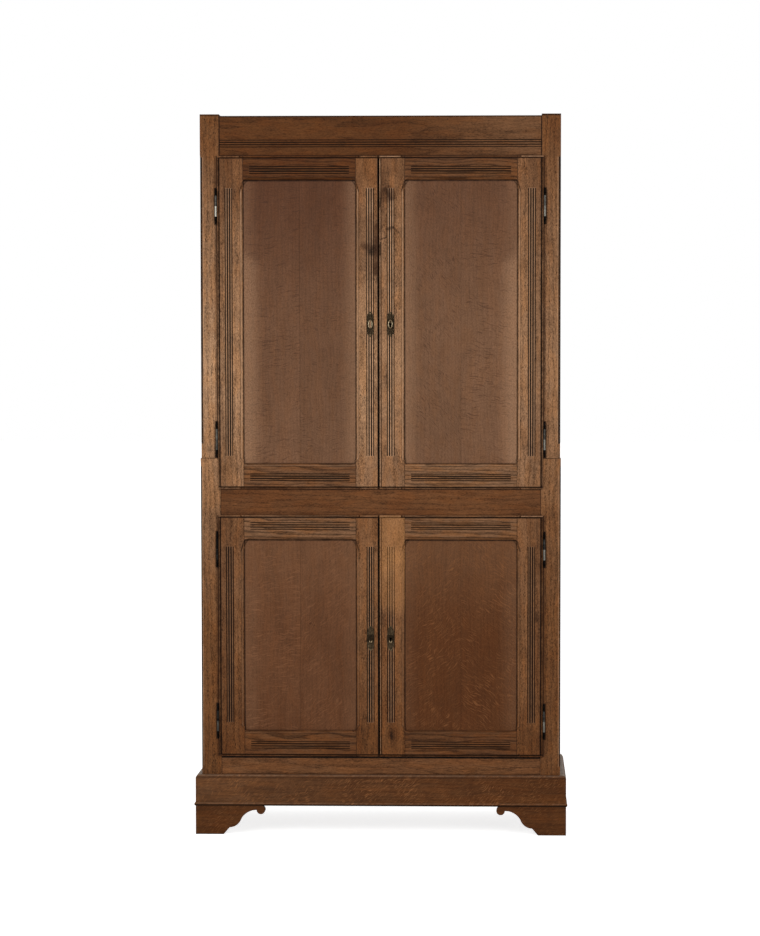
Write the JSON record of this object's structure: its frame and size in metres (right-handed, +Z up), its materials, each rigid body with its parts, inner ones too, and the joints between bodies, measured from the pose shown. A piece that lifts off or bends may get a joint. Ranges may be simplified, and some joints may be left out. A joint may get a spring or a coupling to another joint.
{
  "type": "linen press",
  "caption": "Tall two-part oak linen press with reeded, lipped and panelled doors in an upper and a lower case, lift-off hinges, locks, shelves and a plinth on bracket feet.",
  "frame": {"origin": "on the floor, in the middle of the overall width and depth", "axes": "+X to the right seen from the front, +Y to the back, +Z up; the doors face -Y"},
  "size_m": [1.145, 0.462, 2.2],
  "materials": {
    "case_oak": "waxed orange-brown oak",
    "frame_oak": "waxed orange-brown oak, worn on the edges",
    "panel_oak": "waxed red-brown quarter-sawn oak",
    "plinth_oak": "waxed dark brown oak",
    "inside_oak": "unfinished oak",
    "hinge_steel": "worn bright on the knuckles, black finials",
    "lock_steel": "dark, oiled",
    "aged_brass": "dark aged brass, worn bright on the relief"
  },
  "bodies": {
    "cabinet": {"plinth_front": "plinth_oak", "plinth_side_left": "plinth_oak", "plinth_side_right": "plinth_oak", "plinth_back": "inside_oak", "foot_front_left": "plinth_oak", "foot_front_right": "plinth_oak", "rear_feet": "plinth_oak", "lower_post_left": "case_oak", "lower_post_right": "case_oak", "upper_post_left": "case_oak", "upper_post_right": "case_oak", "lower_rear_posts": "case_oak", "upper_rear_posts": "case_oak", "lower_side_rails": "case_oak", "upper_side_rails": "case_oak", "lower_side_panels": "panel_oak", "upper_side_panels": "panel_oak", "bottom_rail": "case_oak", "mid_rail": "case_oak", "top_rail": "case_oak", "bottom_board": "inside_oak", "middle_board": "inside_oak", "lower_shelf": "inside_oak", "upper_shelves": "inside_oak", "top_board": "inside_oak", "shelf_bearers": "inside_oak", "lower_back_boards": "inside_oak", "upper_back_boards": "inside_oak", "locating_pegs": "inside_oak", "frame_hinge_leaves": "hinge_steel"},
    "upper_left_door": {"upper_left_door_stiles": "frame_oak", "upper_left_door_rails": "frame_oak", "upper_left_door_panel": "panel_oak", "upper_left_door_hinge_leaves": "hinge_steel", "upper_left_door_escutcheon": "aged_brass", "upper_lock_keeper": "lock_steel", "upper_slide_bolt_plate": "lock_steel"},
    "upper_right_door": {"upper_right_door_stiles": "frame_oak", "upper_right_door_rails": "frame_oak", "upper_right_door_panel": "panel_oak", "upper_right_door_hinge_leaves": "hinge_steel", "upper_right_door_escutcheon": "aged_brass", "upper_lock_case": "lock_steel"},
    "lower_left_door": {"lower_left_door_stiles": "frame_oak", "lower_left_door_rails": "frame_oak", "lower_left_door_panel": "panel_oak", "lower_left_door_hinge_leaves": "hinge_steel", "lower_left_door_escutcheon": "aged_brass", "lower_lock_keeper": "lock_steel", "lower_slide_bolt_plate": "lock_steel"},
    "lower_right_door": {"lower_right_door_stiles": "frame_oak", "lower_right_door_rails": "frame_oak", "lower_right_door_panel": "panel_oak", "lower_right_door_hinge_leaves": "hinge_steel", "lower_right_door_escutcheon": "aged_brass", "lower_lock_case": "lock_steel"},
    "upper_lock_bolt": {"upper_lock_bolt": "lock_steel"},
    "lower_lock_bolt": {"lower_lock_bolt": "lock_steel"},
    "upper_slide_bolt": {"upper_slide_bolt_bar": "lock_steel"},
    "lower_slide_bolt": {"lower_slide_bolt_bar": "lock_steel"}
  },
  "joints": [
    {"name": "upper_left_door_hinge", "type": "hinge", "parent": "cabinet", "child": "upper_left_door", "pos_m": [-0.5002, -0.2142, 1.5675], "axis": [0, 0, -1], "range_deg": [0, 170]},
    {"name": "upper_right_door_hinge", "type": "hinge", "parent": "cabinet", "child": "upper_right_door", "pos_m": [0.5002, -0.2142, 1.5675], "axis": [0, 0, 1], "range_deg": [0, 170]},
    {"name": "lower_left_door_hinge", "type": "hinge", "parent": "cabinet", "child": "lower_left_door", "pos_m": [-0.5002, -0.2142, 0.6125], "axis": [0, 0, -1], "range_deg": [0, 170]},
    {"name": "lower_right_door_hinge", "type": "hinge", "parent": "cabinet", "child": "lower_right_door", "pos_m": [0.5002, -0.2142, 0.6125], "axis": [0, 0, 1], "range_deg": [0, 170]},
    {"name": "upper_lock_bolt_slide", "type": "slide", "parent": "upper_right_door", "child": "upper_lock_bolt", "axis": [-1, 0, 0], "range_m": [0, 0.012]},
    {"name": "lower_lock_bolt_slide", "type": "slide", "parent": "lower_right_door", "child": "lower_lock_bolt", "axis": [-1, 0, 0], "range_m": [0, 0.012]},
    {"name": "upper_slide_bolt_slide", "type": "slide", "parent": "upper_left_door", "child": "upper_slide_bolt", "axis": [0, 0, -1], "range_m": [0, 0.014]},
    {"name": "lower_slide_bolt_slide", "type": "slide", "parent": "lower_left_door", "child": "lower_slide_bolt", "axis": [0, 0, 1], "range_m": [0, 0.014]}
  ]
}
